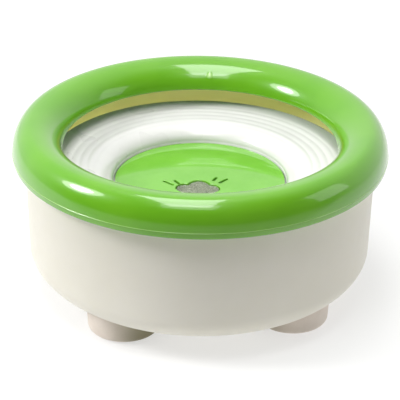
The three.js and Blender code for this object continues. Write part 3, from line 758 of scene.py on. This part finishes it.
def make_deck():
    rim_r = DECK_R - DECK_ROUND
    roll_z = SHOULDER_TOP - SHOULDER_HEIGHT
    deck_start, deck_stop, pitch = rim_r - 0.4, SHOULDER_R - 9, 0.33
    count = int((deck_start - deck_stop) / pitch)
    section = [(DECK_R, DECK_LOW)] + arc(rim_r, DECK_TOP - DECK_ROUND, DECK_ROUND, DECK_ROUND, 0, 90, 8)
    section += [(deck_start - pitch * i, deck_height(deck_start - pitch * i)) for i in range(count)]
    last = math.degrees(math.acos((SHOULDER_R - section[-1][0]) / SHOULDER_WIDTH))
    section += arc(SHOULDER_R, roll_z, SHOULDER_WIDTH, SHOULDER_HEIGHT, 180 - last + 2, 180, 14)
    section += [(DECK_BORE + 0.1, roll_z - 0.6), (DECK_BORE, DECK_WELL_LOW)]
    section += [(DECK_BORE + FLOAT_WALL, DECK_WELL_LOW)]
    inner_width, inner_height = SHOULDER_WIDTH - FLOAT_WALL, SHOULDER_HEIGHT - FLOAT_WALL
    section += arc(SHOULDER_R, roll_z, inner_width, inner_height, 180, 90, 12)
    section += [(DECK_R - FLOAT_WALL, DECK_TOP - FLOAT_WALL), (DECK_R - FLOAT_WALL, DECK_LOW)]
    return turned("deck", section)


def make_hull():
    """The float's lower shell: a rounded tray, a stepped tongue for the deck and a ledge for the cap."""
    hip = HULL_R - HULL_DRAFT
    centre_z = HULL_LOW + HULL_CORNER
    step = HULL_TOP - HULL_STEP
    tongue = DECK_R - 2 * FLOAT_WALL + TONGUE_REACH
    inner = HULL_CORNER - FLOAT_WALL
    rim_inner = WELL_RIM_R - WELL_RIM_WALL
    ledge_low, rim_top = WELL_LEDGE - FLOAT_WALL, WELL_LEDGE + WELL_RIM_HEIGHT
    section = [(WELL_R, HULL_LOW)]
    section += arc(hip - HULL_CORNER, centre_z, HULL_CORNER, HULL_CORNER, 270, 360, 16)
    section += [(HULL_R, step), (tongue, step), (tongue, HULL_TOP), (tongue - HULL_TONGUE, HULL_TOP)]
    section += arc(hip - HULL_CORNER, centre_z, inner, inner, 360, 270, 12)
    section += [
        (WELL_R + FLOAT_WALL, HULL_LOW + FLOAT_WALL), (WELL_R + FLOAT_WALL, ledge_low),
        (WELL_RIM_R, ledge_low), (WELL_RIM_R, rim_top), (rim_inner, rim_top), (rim_inner, WELL_LEDGE),
        (WELL_R, WELL_LEDGE),
    ]
    return turned("hull", section, HIDDEN_SIDES)


# ---- inlet cartridge ------------------------------------------------------------------------------------

PAW_LOBES = ((-0.4, -8.4, 6.6), (-8.4, -11.5, 5.2), (6.3, -11.9, 5))
PAW_HEEL = (-1, -13.6, 11, 6.2)
PAW_CORE = (-0.9, -12.4)
PAW_SHAPES = tuple((x, y, r, r) for x, y, r in PAW_LOBES) + (PAW_HEEL,)
SLOT_WIDTH = 1.6
SLOTS = (
    ((-20, -3.6), (-15.2, -8)),
    ((-14, -2.8), (-11.8, -6.2)),
    ((7.6, -1.6), (9.2, 1.6)),
    ((11.2, -4.6), (15.2, 0)),
)


def circle(radius, sides, x=0, y=0):
    return [(x + radius * math.cos(a), y + radius * math.sin(a)) for a in even_angles(sides)]


def paw_outline(points=160):
    """The outline round three lobes and a heel, as the farthest edge along each ray from the middle."""
    core = Vector(PAW_CORE)
    outline = []
    for angle in even_angles(points):
        ray = Vector((math.cos(angle), math.sin(angle)))
        reach = 0
        for x, y, width, height in PAW_SHAPES:
            scaled = Vector((ray.x / width, ray.y / height))
            offset = Vector(((x - core.x) / width, (y - core.y) / height))
            b = scaled.dot(offset)
            a = scaled.dot(scaled)
            under = b * b - a * (offset.dot(offset) - 1)
            if under >= 0:
                reach = max(reach, (b + math.sqrt(under)) / a)
        outline.append(tuple(core + ray * reach))
    return outline


def slot_outline(start, end):
    start, end = Vector(start), Vector(end)
    heading = math.atan2(end.y - start.y, end.x - start.x)
    outline = []
    for centre, first in ((end, heading - math.pi / 2), (start, heading + math.pi / 2)):
        for i in range(9):
            angle = first + math.pi * i / 8
            outline.append((centre.x + SLOT_WIDTH / 2 * math.cos(angle),
                            centre.y + SLOT_WIDTH / 2 * math.sin(angle)))
    return outline


def add_block(mesh, angles, corners):
    """A block whose section follows a ring through some angles."""
    rings = []
    for angle in angles:
        rings.append([
            mesh.verts.new(Vector((r * math.cos(angle), r * math.sin(angle), z)) * MM) for r, z in corners
        ])
    for ring, following in zip(rings, rings[1:]):
        for j in range(4):
            k = (j + 1) % 4
            mesh.faces.new((ring[j], following[j], following[k], ring[k]))
    mesh.faces.new(rings[0])
    mesh.faces.new(rings[-1][::-1])


def lug_blocks(mesh, inner, outer, low):
    """Three bayonet lugs, each a block that follows the ring through 40 degrees."""
    high = low + LUG_HEIGHT
    for i in range(3):
        angles = [math.radians(120 * i + 40 * k / 10) for k in range(11)]
        add_block(mesh, angles, ((inner, low), (outer, low), (outer, high), (inner, high)))


def make_cap():
    plate_low = CAP_TOP - CAP_PLATE
    holes = [paw_outline()] + [slot_outline(*slot) for slot in SLOTS]
    outlines = [circle(CAP_R, FINE_SIDES)] + [hole[::-1] for hole in holes]
    mesh = plate_mesh(outlines, plate_low, CAP_TOP, CAP_EDGE)
    joined = plate_low + CAP_EDGE
    walls = (
        (CAP_SKIRT_R - CAP_SKIRT, CAP_SKIRT_R, CAP_LOW),
        (SOCKET_R, SOCKET_R + SOCKET_WALL, SOCKET_LOW),
        (SCREEN_WALL_R - SCREEN_WALL, SCREEN_WALL_R, SCREEN_WALL_LOW),
    )
    for inner, outer, low in walls:
        wall = rounded([(inner, low, 0.4), (outer, low, 0.4), (outer, joined), (inner, joined)])
        add_turned(mesh, constant(wall), even_angles(MEDIUM_SIDES))
    lug_blocks(mesh, SOCKET_R - SOCKET_LUG_REACH, SOCKET_R + 1, SOCKET_LOW)
    bmesh.ops.recalc_face_normals(mesh, faces=mesh.faces)
    return new_object("green_cap", mesh)


def add_wire(mesh, points, radius, sides=5):
    """A thin wire along points that run mostly one way."""
    along = (points[-1] - points[0]).normalized()
    across = Vector((0, 0, 1)).cross(along)
    rings = []
    for point in points:
        ring = []
        for angle in even_angles(sides):
            offset = across * math.cos(angle) + Vector((0, 0, 1)) * math.sin(angle)
            ring.append(mesh.verts.new((point + offset * radius) * MM))
        rings.append(ring)
    for ring, following in zip(rings, rings[1:]):
        for j in range(sides):
            k = (j + 1) % sides
            mesh.faces.new((ring[j], ring[k], following[k], following[j]))
    mesh.faces.new(rings[0][::-1])
    mesh.faces.new(rings[-1])


def screen_rise(x, y):
    """How far the screen is pressed up into the paw window, over a point of the cap."""
    inside = max(1 - ((x - cx) / w) ** 2 - ((y - cy) / h) ** 2 for cx, cy, w, h in PAW_SHAPES)
    rise = min(1, max(0, inside / 0.3))
    return SCREEN_BULGE * rise * rise * (3 - 2 * rise)


def make_screen():
    """A plain weave of round steel wires, cut to a disc and pressed up into the paw window."""
    level = (SCREEN_LOW + SCREEN_TOP) / 2
    swing = (SCREEN_TOP - SCREEN_LOW) / 2 - WIRE_R + WIRE_LAP
    reach = SCREEN_R - SCREEN_EDGE
    rows = int(reach / WIRE_PITCH)
    mesh = bmesh.new()
    for turn in (0, 1):
        for row in range(-rows, rows + 1):
            offset = row * WIRE_PITCH
            half = math.sqrt(max(0, reach ** 2 - offset ** 2))
            steps = max(4, int(4 * half / WIRE_PITCH))
            points = []
            for i in range(steps + 1):
                s = -half + 2 * half * i / steps
                height = level + swing * math.cos(math.pi * (s / WIRE_PITCH + row + turn))
                x, y = (s, offset) if turn == 0 else (-offset, s)
                points.append(Vector((x, y, height + screen_rise(x, y))))
            add_wire(mesh, points, WIRE_R)
    bmesh.ops.recalc_face_normals(mesh, faces=mesh.faces)
    return new_object("woven_screen", mesh, sharp=60)


def make_clamp_ring():
    section = rounded([
        (CLAMP_BORE_R, CLAMP_LOW, 0.4), (CLAMP_R, CLAMP_LOW, 0.4), (CLAMP_R, CLAMP_TOP, 0.3),
        (CLAMP_BORE_R, CLAMP_TOP, 0.3),
    ])
    return turned("screen_clamp", section, MEDIUM_SIDES)


def make_cup():
    """The filter basket: a slotted wall, a floor with holes, a thick collar and three lugs."""
    inner = CUP_R - CUP_WALL
    holes = [
        circle(CUP_HOLE_R, 24, CUP_HOLE_CIRCLE_R * math.cos(a), CUP_HOLE_CIRCLE_R * math.sin(a))[::-1]
        for a in even_angles(8)
    ]
    mesh = plate_mesh([circle(CUP_R - 0.2, MEDIUM_SIDES)] + holes, CUP_LOW, CUP_LOW + CUP_WALL, 0.25)
    for low, high in ((CUP_LOW + 0.3, CUP_SLOT_LOW), (CUP_SLOT_HIGH, CUP_TOP)):
        band = rounded([(inner, low, 0.3), (CUP_R, low, 0.3), (CUP_R, high, 0.4), (inner, high, 0.4)])
        add_turned(mesh, constant(band), even_angles(MEDIUM_SIDES))
    slot_half = math.asin(CUP_SLOT_WIDTH / 2 / CUP_R)
    low, high = CUP_SLOT_LOW - BAND_LAP, CUP_SLOT_HIGH + BAND_LAP
    bar_in, bar_out = inner + BAR_INSET, CUP_R - BAR_INSET
    for i in range(CUP_SLOTS):
        start = 2 * math.pi * i / CUP_SLOTS + slot_half
        stop = 2 * math.pi * (i + 1) / CUP_SLOTS - slot_half
        angles = [start + (stop - start) * k / 8 for k in range(9)]
        add_block(mesh, angles, ((bar_in, low), (bar_out, low), (bar_out, high), (bar_in, high)))
    lug_blocks(mesh, CUP_R - CUP_LUG_ROOT, CUP_R + CUP_LUG_REACH, SOCKET_LOW + 2)
    bmesh.ops.recalc_face_normals(mesh, faces=mesh.faces)
    return new_object("basket", mesh)


def make_foam():
    """A round pad with rounded edges."""
    section = rounded([(0, FOAM_LOW), (FOAM_R, FOAM_LOW, 1.2), (FOAM_R, FOAM_TOP, 1.2), (0, FOAM_TOP)], 6)
    return turned("foam_pad", section, COARSE_SIDES)


# ---- camera, floor and light ----------------------------------------------------------------------------

def aim(holder, target, roll=0):
    direction = Vector(target) - holder.location
    holder.rotation_mode = "QUATERNION"
    turn = direction.to_track_quat("-Z", "Y")
    holder.rotation_quaternion = turn @ Matrix.Rotation(roll, 3, "Z").to_quaternion()


def make_camera():
    elevation, distance, target = math.radians(26.79), 1.0547, Vector((0.0002, 0, 0.05265))
    data = bpy.data.cameras.new("camera")
    data.lens = 167.26
    data.sensor_width = 36
    data.clip_start, data.clip_end = 0.05, 50
    camera = bpy.data.objects.new("camera", data)
    bpy.context.scene.collection.objects.link(camera)
    camera.location = target + distance * Vector((0, -math.cos(elevation), math.sin(elevation)))
    aim(camera, target, math.radians(0.784))
    bpy.context.scene.camera = camera


FLOOR_CLOUD = 900
# How strongly the floor's painted pool of light glows.
FLOOR_GLOW = 0.56


def make_floor():
    """A floor that glows white with painted light behind and beside the object, and falls to a pale grey in
    front of it.
    """
    mesh = bmesh.new()
    bmesh.ops.create_circle(mesh, cap_ends=True, segments=96, radius=4)
    floor = new_object("floor", mesh)
    finish = Finish("floor_white", Roughness=1.0, Specular_IOR_Level=0.0)
    cloud = finish.remap(finish.noise(FLOOR_CLOUD, 2), 0.3, 0.7, 0, 1)
    white = finish.blend(cloud, (0.42, 0.42, 0.42), (0.44, 0.44, 0.44))
    # Painted light: a glowing pool behind and beside the object, with no glow in front.
    behind = finish.remap(finish.along("Y"), -0.23, -0.15, 0, 1, smooth=True)
    from_left = finish.remap(finish.along("X"), -3.6, -2.6, 0, 1, smooth=True)
    from_right = finish.remap(finish.along("X"), 2.6, 3.6, 1, 0, smooth=True)
    painted_light_pool = finish.multiply(behind, finish.multiply(from_left, from_right))
    finish.colour(finish.blend(painted_light_pool, (0.48, 0.48, 0.48), white))
    finish.shader.inputs["Emission Color"].default_value = (1, 1, 1, 1)
    finish.links.new(finish.multiply(painted_light_pool, FLOOR_GLOW), finish.shader.inputs["Emission Strength"])
    finish.put_on(floor)


def soft_box(name, place, size, radiance, target=(0, 0, 0.08), shape="RECTANGLE"):
    """A flat light of an even radiance, which the camera doesn't see."""
    data = bpy.data.lights.new(name, "AREA")
    data.shape = shape
    data.size, data.size_y = size
    filled = math.pi / 4 if shape == "ELLIPSE" else 1
    data.energy = radiance * math.pi * size[0] * size[1] * filled
    light = bpy.data.objects.new(name, data)
    light.location = place
    light.visible_camera = False
    bpy.context.scene.collection.objects.link(light)
    aim(light, target)


def make_world(back, front):
    """A pale studio, brighter behind the object and dimmer on the camera's side."""
    world = bpy.data.worlds.new("studio")
    bpy.context.scene.world = world
    world.use_nodes = True
    nodes, links = world.node_tree.nodes, world.node_tree.links
    place = nodes.new("ShaderNodeTexCoord")
    split = nodes.new("ShaderNodeSeparateXYZ")
    level = nodes.new("ShaderNodeMapRange")
    level.interpolation_type = "SMOOTHSTEP"
    for i, number in enumerate((-0.3, 0.5, front, back), start=1):
        level.inputs[i].default_value = number
    links.new(place.outputs["Generated"], split.inputs[0])
    links.new(split.outputs["Y"], level.inputs["Value"])
    background = nodes["Background"]
    background.inputs["Color"].default_value = (1, 1, 1, 1)
    links.new(level.outputs["Result"], background.inputs["Strength"])


make_camera()
make_floor()
make_world(back=0.88, front=0.09)
soft_box("key_above", (-0.10, -0.15, 1.3), (0.46, 1.15), 6.6, (-0.10, -0.15, 0))
soft_box("front_above", (-0.10, -0.70, 1.24), (0.6, 0.5), 2.6)
soft_box("left_core", (-1.05, -0.15, 0.85), (0.3, 0.36), 20, shape="ELLIPSE")
soft_box("left_halo", (-1.07, -0.15, 0.87), (0.56, 0.66), 6.5, shape="ELLIPSE")
soft_box("right_fill", (1.1, -0.15, 0.55), (0.5, 0.6), 1.6)
bpy.context.scene.view_settings.view_transform = "Standard"


# ---- assembly -------------------------------------------------------------------------------------------

ring_green, cap_green = ring_plastic(), cap_plastic()
cream, white, wet = cream_plastic(), satin_white(), wet_white()
soft, grip, rubber = soft_foot(), pad_rubber(), silicone()

bowl = ride(make_bowl(), "bowl", "bowl", "bowl_shell")
cream.put_on(bowl)
for corner in FOOT_NAMES:
    soft.put_on(ride(make_foot(corner), "bowl", "foot", "foot_" + corner))
    grip.put_on(ride(make_foot_pad(corner), "bowl", "foot_pad", "foot_pad_" + corner))

shell = ride(make_ring_shell(), "splash_ring", "ring", "ring_top_shell")
collar = ride(make_ring_collar(), "splash_ring", "ring", "ring_base")
ring_green.put_on(shell, collar)
rubber.put_on(ride(make_gasket(), "splash_ring", "silicone", "ring_gasket"))

wet.put_on(ride(make_deck(), "float", "float", "float_deck"))
white.put_on(ride(make_hull(), "float", "float", "float_hull"))

cap_green.put_on(ride(make_cap(), "cartridge", "cap", "inlet_cap"))
# The screen's steel varies in tone at random; its darker, green colours are painted shade and green
# reflection from the cap round it.
mesh_steel = steel("mesh_steel", (0.34, 0.38, 0.26), (0.72, 0.77, 0.62), 0.2, 0.42)
mesh_steel.put_on(ride(make_screen(), "cartridge", "screen", "mesh_screen"))
white.put_on(ride(make_clamp_ring(), "cartridge", "filter_plastic", "screen_ring"))
white.put_on(ride(make_cup(), "filter_basket", "filter_plastic", "filter_cup"))
foam().put_on(ride(make_foam(), "filter_basket", "foam", "filter_pad"))

screw_steel = steel("screw_steel", (0.42, 0.42, 0.41), (0.6, 0.6, 0.58), 0.25, 0.45)
screw_steel.put_on(*[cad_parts["foot_screw_" + corner] for corner in FOOT_NAMES])
rubber.put_on(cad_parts["float_seal_outer"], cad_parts["float_seal_inner"])
